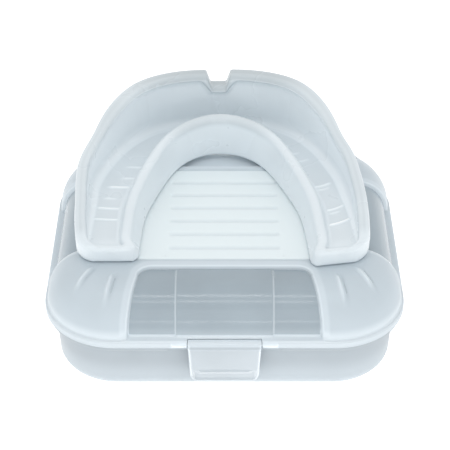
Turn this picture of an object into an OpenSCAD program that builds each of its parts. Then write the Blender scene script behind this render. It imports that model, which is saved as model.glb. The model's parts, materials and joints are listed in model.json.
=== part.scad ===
// Mouthguard with its storage case: a shallow tray, a hinged domed lid with a swinging
// latch tab, and a horseshoe mouthguard that lies on the closed lid.
// Millimetres. The origin is the centre of the tray's flat bottom, +Z is up,
// -Y is the latch side and +Y the hinge side.

/* [Case] */
// Width across the flanges, side to side
case_w = 85.5; // [82:0.5:92]
// Depth across the flanges, latch to hinge
case_l = 74; // [72:1:80]
// Plan radius of the flange corners
corner_r = 17.5; // [16:0.5:19]
// Wall thickness of the tray and the lid
wall = 1.2; // [1:0.1:1.4]
// Height of the tray, bottom to joint line
tray_h = 14.2; // [13:0.1:18]
// Radius where the tray's wall turns into its bottom
tray_fillet = 3.5; // [2:0.5:5]
// Height of the lid above the joint line
lid_h = 12.7; // [11.7:0.1:16.3]
// Radius of the lid's shoulder, from the lobes' tops down to the flange
shoulder_r = 10; // [8:0.5:10.5]
// Thickness of the lid's flange
flange_t = 2.2; // [1.9:0.1:2.3]

/* [Lid windows and ribs] */
// How far the windows sit below the corner lobes
recess = 1.2; // [0.8:0.1:1.3]
// Half width of the front and back windows at the flange
window_mouth = 22.9; // [21:0.1:24]
// Half width of the side windows at the flange
side_mouth = 16; // [13:0.5:16.5]
// Pitch of the grooves across the raised centre
groove_pitch = 5.6; // [5:0.1:6]
// Length of the grooves
groove_w = 28; // [20:1:30]

/* [Hinges] */
// Radius of the hinge knuckles
knuckle_r = 2.4; // [2.2:0.1:2.6]
// Length of each hinge knuckle
knuckle_l = 5; // [4:0.5:6]
// Distance of each tray knuckle's inner end from the middle
knuckle_x = 18; // [15:0.5:19]
// Radius of the lid's stub pins
hinge_pin_r = 1.1; // [0.9:0.05:1.2]
// Radial clearance of every pin in its bore
running_gap = 0.06; // [0.03:0.01:0.08]

/* [Latch] */
// Width of the latch tab at its hinge
latch_w = 17; // [15:0.2:19]
// Narrowing of the latch tab towards its free end, on each side
latch_taper = 0.6; // [0.4:0.1:1.2]
// Drop of the tab's free end below its hinge
latch_drop = 10; // [9:0.1:10.5]
// Radius of the latch barrel and of the ears that hold it
latch_r = 0.95; // [0.9:0.05:1.1]
// Radius of the latch's stub pins
latch_pin_r = 0.55; // [0.5:0.05:0.6]

/* [Mouthguard] */
// Half width of the outer wall
guard_half = 35; // [33:0.5:36]
// Distance from the heels to the front of the arch
guard_l = 64; // [60:0.5:64.5]
// Height of the outer wall at the front
guard_h = 16.6; // [15:0.1:18]
// Thickness of the bite floor
guard_floor = 3.5; // [3:0.1:4]
// Thickness of the inner wall
inner_wall = 3; // [2.5:0.1:3.5]
// Turn of the mouthguard as it lies on the lid, in degrees
guard_turn = 1.5; // [0:0.5:3]

/* [Hidden] */
$fn = 72;
eps = 0.01;

// Case levels and insets from the flange's outer edge
joint_z = tray_h;
lobe_inset = 0.7;
window_inset = lobe_inset + recess;
tray_inset = 2.5;
rim_inset = 0.6;
rim_t = 1.2;
lip_gap = 0.2;
lip_t = 0.8;
lip_h = 1.3;
lip_inset = window_inset + wall + lip_gap;
lid_top_z = joint_z + lid_h;

// Windows in plan: distance from the centre of each inner end, and corner radius
front_window_end = case_l / 2 - 15.5;
side_window_end = case_w / 2 - 11.5;
window_neck = window_mouth - 2.5;
side_neck = side_mouth - 1.2;
window_corner = 3.5;

// Raised grip ridges on the lobes, each pair fanned about its corner's centre
ridge_angles = [38, 80];
ridge_span = [45, 72];
ridge_t = 1.1;
ridge_h = 0.35;

// Slightly raised panel in the middle of the front window
panel_w = 22.6;
panel_rise = 0.3;

groove_t = 0.9;
groove_depth = 0.3;
groove_count = 7;
groove_first_y = -20.2 + groove_pitch;

// Rear hinge
hinge_y = case_l / 2 + 1.6;
hinge_z = joint_z;
hinge_bore_r = hinge_pin_r + running_gap;
side_gap = 0.3;
hinge_pin_l = knuckle_l - 0.6;
knuckle_mid = knuckle_x + knuckle_l / 2;
lug_mid = knuckle_x + 1.5 * knuckle_l + side_gap;
web_l = 4.4;
lug_web_l = 4;

// Latch
latch_y = -case_l / 2 + 0.7;
latch_z = joint_z + flange_t / 2;
tab_back = -case_l / 2 + 0.25;
latch_t = 1.3;
latch_corner = 1.6;
latch_bore_r = latch_pin_r + running_gap;
latch_pin_l = 2.4;
latch_gap_l = 2;
ear_l = 3.8;
catch_r = 0.5;
catch_y = -case_l / 2 + rim_inset - 0.1;
catch_z = joint_z - rim_t - 0.6;
grip_r = 0.6;
grip_w = 11;

// Mouthguard: centre of its turn, rest gap, and arch outlines in plan
guard_x = -0.85;
guard_y = 10;
guard_gap = 0.05;
heel_y = -21.5 - guard_y;
apex_y = heel_y + guard_l;
heel_wall = 2.5;
heel_r = 4;
outer_wall = 3.2;
front_wall = 5;
arch_steps = 36;
outer_spring_y = -6;
inner_spring_y = -24;
opening_half = 19.8;
opening_apex_y = 16.2;
notch_top = 3.2;
notch_bottom = 2;
notch_depth = 3.5;

// ---------- shared shapes ----------

module rounded_rect(w, l, r) {
    square([w - 2 * r, l], center = true);
    square([w, l - 2 * r], center = true);
    for (sx = [-1, 1], sy = [-1, 1])
        translate([sx * (w / 2 - r), sy * (l / 2 - r)]) circle(r);
}

// Flat plate that follows the case's outline
module plate(inset, z, h) {
    translate([0, 0, z])
        linear_extrude(h)
            rounded_rect(case_w - 2 * inset, case_l - 2 * inset, corner_r - inset);
}

// Half section of a block whose top edge is rounded
module shoulder_section(half, h, s) {
    square([half, h - s]);
    square([half - s, h]);
    translate([half - s, h - s]) intersection() {
        circle(s);
        square(s);
    }
}

module full_section(half, h, s) {
    shoulder_section(half, h, s);
    mirror([1, 0]) shoulder_section(half, h, s);
}

// Block on the XY plane that follows the case's outline, with a rounded top edge
module rounded_block(inset, h, s) {
    half_w = case_w / 2 - inset;
    half_l = case_l / 2 - inset;
    r = corner_r - inset;
    rotate([90, 0, 90])
        linear_extrude(2 * (half_w - r), center = true) full_section(half_l, h, s);
    rotate([90, 0, 0])
        linear_extrude(2 * (half_l - r), center = true) full_section(half_w, h, s);
    for (sx = [-1, 1], sy = [-1, 1])
        translate([sx * (half_w - r), sy * (half_l - r), 0])
            rotate_extrude() shoulder_section(r, h, s);
}

// Cylinder along X, centred on x
module rod(x, y, z, r, l) {
    translate([x, y, z]) rotate([0, 90, 0]) cylinder(h = l, r = r, center = true);
}

// ---------- tray ----------

module tray_body() {
    translate([0, 0, joint_z]) mirror([0, 0, 1])
        rounded_block(tray_inset, tray_h, tray_fillet);
    plate(rim_inset, joint_z - rim_t, rim_t);
    plate(lip_inset, joint_z - rim_t, rim_t + lip_h);
    for (s = [-1, 1]) {
        rod(s * knuckle_mid, hinge_y, hinge_z, knuckle_r, knuckle_l);
        translate([s * knuckle_mid, hinge_y - web_l / 2, hinge_z - knuckle_r / 2])
            cube([knuckle_l, web_l, knuckle_r], center = true);
    }
}

module tray_cavity() {
    inner_h = tray_h - wall;
    translate([0, 0, joint_z - rim_t]) mirror([0, 0, 1])
        rounded_block(tray_inset + wall, inner_h - rim_t, tray_fillet - wall);
    plate(lip_inset + lip_t, joint_z - rim_t - eps, rim_t + lip_h + 1);
}

module base_tray() {
    color("gainsboro")
        difference() {
            tray_body();
            tray_cavity();
            for (s = [-1, 1]) {
                rod(s * knuckle_mid, hinge_y, hinge_z, hinge_bore_r, knuckle_l + 1);
                // room for the lid's lugs
                rod(s * lug_mid, hinge_y, hinge_z,
                    knuckle_r + side_gap, knuckle_l + side_gap);
            }
            // room for the latch barrel and its ears
            rod(0, latch_y, latch_z, latch_r + side_gap, latch_w + 2 * ear_l + 4 * side_gap);
        }
}

// ---------- lid ----------

// Window in plan on the -Y side: straight flanks and a round inner end
module window_plan(edge, end, mouth, neck, corner) {
    polygon([[-mouth, -edge], [mouth, -edge], [neck, -end - corner], [-neck, -end - corner]]);
    translate([0, -end - corner / 2]) square([2 * (neck - corner), corner], center = true);
    for (s = [-1, 1])
        translate([s * (neck - corner), -end - corner]) circle(corner);
}

module windows(grow) {
    translate([0, 0, -2])
        linear_extrude(lid_h + 4) {
            for (turn = [0, 180])
                rotate(turn)
                    window_plan(case_l / 2 + 1, front_window_end - grow,
                                window_mouth + grow, window_neck + grow, window_corner);
            for (turn = [90, 270])
                rotate(turn)
                    window_plan(case_w / 2 + 1, side_window_end - grow,
                                side_mouth + grow, side_neck + grow, window_corner);
        }
}

// The lobes' block, drawn inwards all round by drop
module dome_block(drop, extra_h) {
    translate([0, 0, -extra_h])
        rounded_block(lobe_inset + drop, lid_h - drop + extra_h, shoulder_r - drop);
}

// The dome, drawn inwards by shrink: four lobes that stand proud of four windows
module dome(shrink, extra_h) {
    dome_block(recess + shrink, extra_h);
    difference() {
        dome_block(shrink, extra_h);
        windows(shrink);
    }
}

// A piece of a ring that hugs the lobe's shoulder and stands a little proud of it
module ridge_section() {
    far = shoulder_r + 2;
    difference() {
        intersection() {
            circle(shoulder_r + ridge_h);
            polygon(concat([[0, 0]], [for (a = ridge_span) far * [cos(a), sin(a)]]));
        }
        circle(shoulder_r - wall / 2);
    }
}

// Short raised ridges over the shoulder of each lobe
module grip_ridges() {
    r = corner_r - lobe_inset;
    for (sx = [-1, 1], sy = [-1, 1], a = ridge_angles)
        translate([sx * (case_w / 2 - corner_r), sy * (case_l / 2 - corner_r), 0])
            mirror([sx < 0 ? 1 : 0, 0, 0]) mirror([0, sy < 0 ? 1 : 0, 0])
                rotate([90, 0, a])
                    linear_extrude(ridge_t, center = true)
                        translate([r - shoulder_r, lid_h - shoulder_r]) ridge_section();
}

module window_panel() {
    intersection() {
        dome_block(recess - panel_rise, 0);
        translate([0, -case_l / 2, 0])
            cube([panel_w, case_l - 2 * front_window_end - 1, 3 * lid_h], center = true);
    }
}

module lid_body() {
    plate(0, 0, flange_t);
    dome(0, 0);
    grip_ridges();
    window_panel();
}

module lid_lugs() {
    for (s = [-1, 1]) {
        rod(s * lug_mid, hinge_y, hinge_z, knuckle_r, knuckle_l);
        translate([s * lug_mid, hinge_y - lug_web_l / 2, joint_z + flange_t / 2])
            cube([knuckle_l, lug_web_l, flange_t], center = true);
        rod(s * (knuckle_x + knuckle_l + side_gap - hinge_pin_l / 2), hinge_y, hinge_z,
            hinge_pin_r, hinge_pin_l + 2 * eps);
    }
}

module latch_ears() {
    for (s = [-1, 1])
        rod(s * (latch_w / 2 + side_gap + ear_l / 2), latch_y, latch_z, latch_r, ear_l);
}

module grooves() {
    for (i = [0 : groove_count - 1])
        translate([0, groove_first_y + i * groove_pitch, lid_top_z])
            cube([groove_w, groove_t, 2 * groove_depth], center = true);
}

module lid_shell() {
    color("white")
        union() {
            difference() {
                union() {
                    translate([0, 0, joint_z]) lid_body();
                    latch_ears();
                }
                translate([0, 0, joint_z]) dome(wall, 1);
                grooves();
                for (s = [-1, 1]) {
                    // room for the tray's knuckles
                    rod(s * knuckle_mid, hinge_y, hinge_z,
                        knuckle_r + side_gap, knuckle_l + 2 * side_gap);
                    rod(s * (latch_w / 2 + side_gap + latch_pin_l / 2), latch_y, latch_z,
                        latch_bore_r, latch_pin_l + 0.6);
                }
                // gap in the flange for the latch barrel and the top of its tab
                rod(0, latch_y, latch_z, latch_r + side_gap, latch_w + 2 * side_gap);
                translate([0, latch_y - latch_gap_l / 2, latch_z])
                    cube([latch_w + 2 * side_gap, latch_gap_l, 2 * flange_t], center = true);
            }
            lid_lugs();
        }
}

// ---------- latch ----------

// Front view of the tab, narrowing downwards to two round corners
module latch_front() {
    top = latch_w / 2;
    bottom = top - latch_taper;
    c = latch_corner;
    polygon([[-top, 0], [top, 0], [bottom, c - latch_drop], [-bottom, c - latch_drop]]);
    translate([0, c / 2 - latch_drop]) square([2 * (bottom - c), c], center = true);
    for (s = [-1, 1])
        translate([s * (bottom - c), c - latch_drop]) circle(c);
}

module latch_tab() {
    color("whitesmoke")
        union() {
            translate([0, tab_back, latch_z])
                rotate([90, 0, 0]) linear_extrude(latch_t) latch_front();
            rod(0, latch_y, latch_z, latch_r, latch_w);
            for (s = [-1, 1])
                rod(s * (latch_w + latch_pin_l) / 2, latch_y, latch_z, latch_pin_r, latch_pin_l + 2 * eps);
            // catch bead on the inside, finger ridge on the outside
            rod(0, catch_y - catch_r, catch_z, catch_r, latch_w - 4);
            rod(0, tab_back - latch_t, latch_z - latch_drop + 2.6, grip_r, grip_w);
        }
}

// ---------- mouthguard ----------

// Half ellipse from one springing point over the apex to the other
function arch(half, spring_y, apex) =
    [for (i = [0 : arch_steps])
        let (t = 180 * i / arch_steps)
            [half * cos(t), spring_y + (apex - spring_y) * sin(t)]];

// Quarter turn that rounds a heel's outer corner
function heel_corner(half, side) =
    [for (i = [0 : 6])
        let (t = side > 0 ? -90 + 15 * i : 180 + 15 * i)
            [side * (half - heel_r) + heel_r * cos(t), heel_y + heel_r + heel_r * sin(t)]];

module outer_plan() {
    polygon(concat(heel_corner(guard_half, 1), arch(guard_half, outer_spring_y, apex_y),
                   heel_corner(guard_half, -1)));
}

// Everything inside an arch line, down past the heels to low_y
module inside_arch(half, spring_y, apex, low_y) {
    polygon(concat([[half, low_y]], arch(half, spring_y, apex), [[-half, low_y]]));
}

module opening_plan() {
    inside_arch(opening_half, inner_spring_y, opening_apex_y, heel_y - 5);
}

// The bite channel between the two walls, closed at the heels
module channel_plan() {
    difference() {
        inside_arch(guard_half - outer_wall, outer_spring_y, apex_y - front_wall, heel_y + heel_wall);
        inside_arch(opening_half + inner_wall, inner_spring_y, opening_apex_y + inner_wall, heel_y);
    }
}

// Space above a wall's top line: a side view drawn along Y, pushed across the arch
module above_line(line) {
    far = apex_y + 5;
    rotate([90, 0, 90])
        linear_extrude(3 * guard_half, center = true)
            polygon(concat([[heel_y - 5, line[0][1]]], line,
                           [[far, line[len(line) - 1][1]], [far, 2 * guard_h], [heel_y - 5, 2 * guard_h]]));
}

outer_line = [[heel_y, 4.2], [heel_y + 7, 6], [heel_y + 26, 9.5], [heel_y + 42, 12.5],
              [heel_y + 57, guard_h]];
inner_line = [[heel_y, 4.2], [heel_y + 11, 5.5], [heel_y + 31, 8.5], [heel_y + 46, 11]];

module frenulum_notch() {
    translate([0, apex_y, 0])
        rotate([90, 0, 0])
            linear_extrude(4 * front_wall, center = true)
                polygon([[-notch_top, guard_h + 1], [notch_top, guard_h + 1], [notch_top, guard_h],
                         [notch_bottom, guard_h - notch_depth], [-notch_bottom, guard_h - notch_depth],
                         [-notch_top, guard_h]]);
}

module outer_wall_solid() {
    difference() {
        linear_extrude(guard_h) difference() {
            outer_plan();
            inside_arch(opening_half + inner_wall, inner_spring_y, opening_apex_y + inner_wall, heel_y - 5);
        }
        translate([0, 0, guard_floor]) linear_extrude(guard_h) channel_plan();
        above_line(outer_line);
        frenulum_notch();
    }
}

module inner_wall_solid() {
    difference() {
        linear_extrude(guard_h) difference() {
            intersection() {
                outer_plan();
                inside_arch(opening_half + inner_wall, inner_spring_y, opening_apex_y + inner_wall,
                            heel_y - 5);
            }
            opening_plan();
        }
        above_line(inner_line);
    }
}

module mouthguard() {
    color("lavender")
        translate([guard_x, guard_y, lid_top_z + guard_gap])
            rotate(guard_turn)
                union() {
                    outer_wall_solid();
                    inner_wall_solid();
                }
}

base_tray();
lid_shell();
latch_tab();
mouthguard();
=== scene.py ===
"""A mouthguard lying on its closed storage case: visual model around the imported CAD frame."""
import json
import math

import bmesh
import bpy
import numpy as np
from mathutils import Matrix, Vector


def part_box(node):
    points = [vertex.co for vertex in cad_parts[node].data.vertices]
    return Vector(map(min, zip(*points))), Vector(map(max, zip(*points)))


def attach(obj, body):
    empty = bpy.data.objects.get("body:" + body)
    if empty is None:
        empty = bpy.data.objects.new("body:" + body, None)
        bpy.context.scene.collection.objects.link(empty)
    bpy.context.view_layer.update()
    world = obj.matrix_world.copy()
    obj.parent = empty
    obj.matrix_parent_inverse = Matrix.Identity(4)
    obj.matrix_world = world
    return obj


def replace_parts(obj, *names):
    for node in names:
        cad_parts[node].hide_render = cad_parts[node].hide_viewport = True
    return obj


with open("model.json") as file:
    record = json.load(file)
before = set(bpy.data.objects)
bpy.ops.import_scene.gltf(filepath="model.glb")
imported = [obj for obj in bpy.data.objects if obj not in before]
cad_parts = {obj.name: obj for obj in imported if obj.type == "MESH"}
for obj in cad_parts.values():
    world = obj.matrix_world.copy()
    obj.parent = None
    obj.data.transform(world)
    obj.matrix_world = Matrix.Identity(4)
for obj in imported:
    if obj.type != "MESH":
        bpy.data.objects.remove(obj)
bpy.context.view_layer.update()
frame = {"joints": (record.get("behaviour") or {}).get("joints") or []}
joints = {j["name"]: j for j in frame["joints"]}

# All sizes below are in millimetres, in the CAD's frame, and become metres in new_object().
MM = 0.001


def box_mm(node):
    """Low and high corner of a CAD node."""
    low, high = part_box(node)
    return np.array(low) / MM, np.array(high) / MM


tray_low = box_mm("base_tray")[0]
lid_high = box_mm("lid_shell")[1]
latch_low, latch_high = box_mm("latch_tab")
guard_low, guard_high = box_mm("mouthguard")
hinge_y, joint_z = (c / MM for c in joints["lid_hinge"]["pos_m"][1:])
latch_y, latch_z = (c / MM for c in joints["latch_hinge"]["pos_m"][1:])

# Case
RIM_INSET = 0.6
half_w = lid_high[0]
half_l = RIM_INSET - tray_low[1]
CORNER_R = 17.5
WALL = 1.2
FLANGE_T = 2.2
LOBE_INSET = 0.7
RECESS = 1.2
SHOULDER_R = 10.0
RIM_T = 1.2
lid_top = lid_high[2]
flange_top = joint_z + FLANGE_T
dome_foot = lid_top - SHOULDER_R

# Lid: windows between the lobes, the panel in the front window, and the ribbed centre
FRONT_END = half_l - 15.5
SIDE_END = half_w - 11.5
FRONT_MOUTH, FRONT_NECK = 22.7, 20.4
SIDE_MOUTH, SIDE_NECK = 15.9, 14.8
WINDOW_CORNER = 3.5
RIM_W, RIM_FALL, WINDOW_STEP = 1.9, 0.3, 0.4
FRONT_PANEL, PANEL_RISE = 11.3, 0.3
CENTRE_HALF_W, CENTRE_HALF_L, CENTRE_CORNER = 14.0, 18.4, 1.0
BORDER_HALF_W, BORDER_HALF_L, BORDER_DEPTH = 24.0, 19.2, 0.25
GROOVE_PITCH, GROOVE_HALF, GROOVE_DEPTH = 5.6, 0.7, 0.3

# Hinge lugs and knuckles
KNUCKLE_R = 2.4
KNUCKLE_L = 5.0
KNUCKLE_MID = 20.5
LUG_MID = 25.8
PIN_R = 1.1
PIN_L = 4.4
BORE_GAP = 0.06
KNUCKLE_WEB, LUG_WEB = 3.6, 3.2
HINGE_GAP_IN = 1.25
hinge_axis = (hinge_y, joint_z)

# Latch
LATCH_HALF = 8.5
LATCH_R = latch_high[2] - latch_z
LATCH_PIN_R = 0.55
LATCH_PIN_L = 2.4
EAR_L = 3.8
GAP = 0.3
LATCH_GAP = 0.12
LATCH_GAP_IN, SEAT_GAP = 1.12, 0.08
TAB_CORNER, TAB_TAPER, TAB_TOP = 1.8, 0.6, 0.2
BAND_H, BAND_DEPTH = 3.2, 0.28
FINGER_RIDGE_H, FINGER_RIDGE_AT, FINGER_RIDGE_HALF = 0.45, 2.9, 0.3
CATCH_R = 0.5
tab_back = 0.25 - half_l
latch_axis = (latch_y, latch_z)


# ---------- mesh helpers ----------

def smoothstep(low, high, x):
    t = np.clip((x - low) / (high - low), 0, 1)
    return t * t * (3 - 2 * t)


def new_object(name, verts, faces, material, body, slot):
    """A mesh from millimetre vertices, riding on a body."""
    mesh = bpy.data.meshes.new(name)
    mesh.from_pydata([tuple(v) for v in np.asarray(verts) * MM], [], faces)
    mesh.update()
    obj = bpy.data.objects.new(name, mesh)
    bpy.context.scene.collection.objects.link(obj)
    mesh.materials.append(material)
    for p in mesh.polygons:
        p.use_smooth = True
    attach(obj, body)
    return obj


def paint(obj, name, values):
    """Store one number per vertex for a material to read."""
    layer = obj.data.attributes.new(name, "FLOAT", "POINT")
    layer.data.foreach_set("value", np.asarray(values, float))


def ring_faces(n_rings, n_cols):
    """Faces between neighbouring closed rings, which all have the same number of points."""
    faces = []
    for k in range(n_rings - 1):
        a, b = k * n_cols, (k + 1) * n_cols
        for j in range(n_cols):
            i = (j + 1) % n_cols
            faces.append((a + j, b + j, b + i, a + i))
    return faces


def end_caps(n_rings, n_cols):
    """Faces that close the first and the last ring."""
    last = (n_rings - 1) * n_cols
    return [tuple(range(n_cols)), tuple(last + j for j in reversed(range(n_cols)))]


# ---------- materials ----------

def new_material(name):
    m = bpy.data.materials.new(name)
    m.use_nodes = True
    nodes, links = m.node_tree.nodes, m.node_tree.links
    return m, nodes, links, nodes["Principled BSDF"]


def noise(nodes, links, scale, detail):
    where = nodes.new("ShaderNodeTexCoord")
    n = nodes.new("ShaderNodeTexNoise")
    n.inputs["Scale"].default_value = scale
    n.inputs["Detail"].default_value = detail
    links.new(where.outputs["Object"], n.inputs["Vector"])
    return n.outputs["Fac"]


def ramp(nodes, links, fac, stops):
    """Colours at places between 0 and 1, mixed in between."""
    r = nodes.new("ShaderNodeValToRGB")
    elements = r.color_ramp.elements
    while len(elements) < len(stops):
        elements.new(0.5)
    for element, (place, colour) in zip(elements, stops):
        element.position = place
        element.color = (*colour, 1)
    links.new(fac, r.inputs["Fac"])
    return r.outputs["Color"]


def shade(colour, k):
    return tuple(c * k for c in colour)


# The part of its range that a noise spends most of its area in
NOISE_LOW, NOISE_HIGH = 0.3, 0.7


def clouded(nodes, links, fac, colour, spread):
    """A colour that drifts a little darker and lighter with a noise."""
    darker, lighter = shade(colour, 1 - spread), shade(colour, 1 + spread)
    return ramp(nodes, links, fac, [(NOISE_LOW, darker), (NOISE_HIGH, lighter)])


def map_noise(nodes, links, fac, low, high):
    """A number that drifts from low to high with a noise."""
    r = nodes.new("ShaderNodeMapRange")
    r.inputs["From Min"].default_value = NOISE_LOW
    r.inputs["From Max"].default_value = NOISE_HIGH
    r.inputs["To Min"].default_value = low
    r.inputs["To Max"].default_value = high
    links.new(fac, r.inputs["Value"])
    return r.outputs["Result"]


def attribute(nodes, name):
    a = nodes.new("ShaderNodeAttribute")
    a.attribute_name = name
    return a.outputs["Fac"]


def mix_colour(nodes, links, fac, a, b):
    m = nodes.new("ShaderNodeMix")
    m.data_type = "RGBA"
    links.new(fac, m.inputs["Factor"])
    for socket, value in ((m.inputs[6], a), (m.inputs[7], b)):
        if isinstance(value, tuple):
            socket.default_value = (*value, 1)
        else:
            links.new(value, socket)
    return m.outputs[2]


def mix_value(nodes, links, fac, a, b):
    m = nodes.new("ShaderNodeMix")
    links.new(fac, m.inputs["Factor"])
    for socket, value in ((m.inputs[2], a), (m.inputs[3], b)):
        if isinstance(value, (int, float)):
            socket.default_value = value
        else:
            links.new(value, socket)
    return m.outputs[0]


def moulded(name, transmission, grain, bump):
    """Moulded plastic with a fine grain, and the cloudiness that its colour and gloss follow."""
    m, nodes, links, shader = new_material(name)
    cloud = noise(nodes, links, 70, 3)
    shader.inputs["IOR"].default_value = 1.49
    shader.inputs["Transmission Weight"].default_value = transmission
    b = nodes.new("ShaderNodeBump")
    b.inputs["Strength"].default_value = bump
    b.inputs["Distance"].default_value = 0.0001
    links.new(noise(nodes, links, grain, 2), b.inputs["Height"])
    links.new(b.outputs["Normal"], shader.inputs["Normal"])
    return m, nodes, links, shader, cloud


# Colours, in linear light
LOBE = (0.59, 0.67, 0.725)
# EDGE_HIGHLIGHT is a painted highlight: the colour of light gathered along edges and rims, and painted
# light over shade
EDGE_HIGHLIGHT = (0.775, 0.855, 0.91)
# WINDOW_SHADE is painted shade: the transparent windows are painted dark for the shaded inside of the case
# seen through them
WINDOW_SHADE = (0.37, 0.44, 0.49)
CENTRE = (0.89, 0.975, 1.0)
TRAY = (0.50, 0.56, 0.605)
LATCH = (0.53, 0.59, 0.635)
# The mouthguard's colour from milky (0) to transparent and dark (1), partly its real clarity and partly
# painted light and shade; the near-white first stop paints light where shade would fall
GUARD_STOPS = [(0.0, (0.97, 0.99, 1.0)), (0.25, (0.84, 0.90, 0.935)), (0.6, (0.67, 0.735, 0.775)),
               (1.0, (0.40, 0.45, 0.475))]


def lid_material():
    """Frosted lobes, polished transparent windows painted dark as painted shade for the shaded inside, a
    whiter ribbed centre, and painted highlights.
    """
    m, nodes, links, shader, cloud = moulded("lid_plastic", 0.2, 2400, 0.2)
    clear_and_shaded, centre, painted_highlight, matte = (attribute(nodes, n) for n in ("clear_and_shaded", "centre", "edge", "matte"))
    lobe = clouded(nodes, links, cloud, LOBE, 0.03)
    window = clouded(nodes, links, cloud, WINDOW_SHADE, 0.05)
    # painted shade in the windows, then painted highlights where the edge attribute is painted
    tint = mix_colour(nodes, links, clear_and_shaded, lobe, window)
    tint = mix_colour(nodes, links, painted_highlight, tint, EDGE_HIGHLIGHT)
    links.new(mix_colour(nodes, links, centre, tint, CENTRE), shader.inputs["Base Color"])
    frost = map_noise(nodes, links, cloud, 0.3, 0.42)
    polish = map_noise(nodes, links, cloud, 0.1, 0.16)
    links.new(mix_value(nodes, links, clear_and_shaded, frost, polish), shader.inputs["Roughness"])
    links.new(mix_value(nodes, links, matte, 0.5, 0.05), shader.inputs["Specular IOR Level"])
    return m


def guard_material():
    """Milky mouthguard polymer, clearer where the front wall is thinner, with painted light, shade and
    glints in its colour.
    """
    m, nodes, links, shader, cloud = moulded("guard_polymer", 0.05, 700, 0.12)
    cloudy = mix_value(nodes, links, cloud, -0.05, 0.05)
    clarity_and_light = nodes.new("ShaderNodeMath")
    links.new(cloudy, clarity_and_light.inputs[0])
    links.new(attribute(nodes, "clarity_and_painted_light"), clarity_and_light.inputs[1])
    links.new(ramp(nodes, links, clarity_and_light.outputs[0], GUARD_STOPS), shader.inputs["Base Color"])
    links.new(map_noise(nodes, links, cloud, 0.24, 0.36), shader.inputs["Roughness"])
    return m


def highlight_painted_material(name, colour, rough, grain, bump):
    """Moulded plastic painted brighter where light gathers along its edges: painted highlights in the
    highlight colour.
    """
    m, nodes, links, shader, cloud = moulded(name, 0.2, grain, bump)
    plain = clouded(nodes, links, cloud, colour, 0.04)
    links.new(mix_colour(nodes, links, attribute(nodes, "edge"), plain, EDGE_HIGHLIGHT), shader.inputs["Base Color"])
    links.new(map_noise(nodes, links, cloud, rough * 0.8, rough * 1.2), shader.inputs["Roughness"])
    return m


lid_mat = lid_material()
tray_mat = highlight_painted_material("tray_plastic", TRAY, 0.4, 2400, 0.2)
latch_mat = highlight_painted_material("latch_plastic", LATCH, 0.2, 1500, 0.12)
guard_mat = guard_material()


# ---------- case outline ----------

# Spacing of the outline's points, and where they stand closer together along each side: at the ends
# of the latch gap, of the front panel and of the windows, measured from the side's middle
COARSE, FINE = 0.45, 0.16
FINE_LONG = [(8.2, 9), (10.9, 11.9), (19.8, 24.5)]
FINE_SHORT = [(14.2, 18.2)]


def spaced(start, end, step):
    """Evenly spaced numbers from start to end, about a step apart."""
    return np.linspace(start, end, max(2, round((end - start) / step) + 1))


def side_places(length, fine):
    """Places along a straight side, closer together in the fine zones and in their mirror images."""
    zones = [(-high, -low) for low, high in reversed(fine)] + fine
    cuts = [-length / 2, *(c for zone in zones for c in zone), length / 2]
    places = []
    for i, (low, high) in enumerate(zip(cuts, cuts[1:])):
        places += list(spaced(low, high, FINE if i % 2 else COARSE)[:-1])
    return places


def case_outline():
    """Points on the flange's outer edge, anticlockwise from the front left, and the outward normals."""
    cx, cy = half_w - CORNER_R, half_l - CORNER_R
    sides = [(2 * cx, half_l, FINE_LONG), (2 * cy, half_w, FINE_SHORT)]
    points, normals = [], []
    for turn in range(4):
        n = np.array([math.cos(math.pi / 2 * (turn - 1)), math.sin(math.pi / 2 * (turn - 1))])
        along = np.array([-n[1], n[0]])
        length, reach, fine = sides[turn % 2]
        for place in side_places(length, fine):
            points.append(n * reach + along * place)
            normals.append(n)
        centre = n * (reach - CORNER_R) + along * length / 2
        for a in spaced(0, math.pi / 2, COARSE / CORNER_R)[:-1]:
            m = n * math.cos(a) + along * math.sin(a)
            points.append(centre + m * CORNER_R)
            normals.append(m)
    return np.array(points), np.array(normals)


edge, normal = case_outline()
N = len(edge)


def ring(inset, z):
    """One loop of the case's outline; inset and z are numbers or one value per point."""
    inset = np.broadcast_to(inset, N)
    z = np.broadcast_to(z, N)
    return np.column_stack([edge - normal * inset[:, None], z])


def arc(cx, cz, r, start, end, steps):
    """Points on an arc in a section, as (inset, z), from start to end in degrees; 0 points inwards."""
    angles = np.radians(np.linspace(start, end, steps))
    return [(cx + r * math.cos(a), cz + r * math.sin(a)) for a in angles]


# ---------- lid ----------

def window_distance(across, along, end, edge_at, mouth, neck):
    """Signed distance to a window in plan, negative inside. along grows outwards from the centre."""
    slope = (mouth - neck) / (edge_at - end - WINDOW_CORNER)
    half = neck + slope * np.clip(along - end - WINDOW_CORNER, 0, None)
    qx = np.abs(across) - half + WINDOW_CORNER
    qy = end + WINDOW_CORNER - along
    outside = np.hypot(np.clip(qx, 0, None), np.clip(qy, 0, None))
    return outside + np.minimum(np.maximum(qx, qy), 0) - WINDOW_CORNER


def window_gap(x, y):
    """Distance to the nearest window in plan, negative inside one."""
    front = window_distance(x, np.abs(y), FRONT_END, half_l, FRONT_MOUTH, FRONT_NECK)
    side = window_distance(y, np.abs(x), SIDE_END, half_w, SIDE_MOUTH, SIDE_NECK)
    return np.minimum(front, side)


def window_mask(x, y):
    """1 inside a window, 0 on a lobe: a rounded rim that ends in a crisp step down."""
    gap = window_gap(x, y)
    rim = RIM_FALL * (1 - np.clip(gap / RIM_W, 0, 1)) ** 2
    return rim + (1 - rim) * (1 - smoothstep(-WINDOW_STEP, 0, gap))


# Grip ridges on each lobe, as plan segments in the first quadrant
RIDGES = [((30.7, 22.6), (34.5, 28.6)), ((25.9, 25.2), (27.5, 33.0))]
RIDGE_HALF, RIDGE_H = 0.45, 0.7


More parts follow.
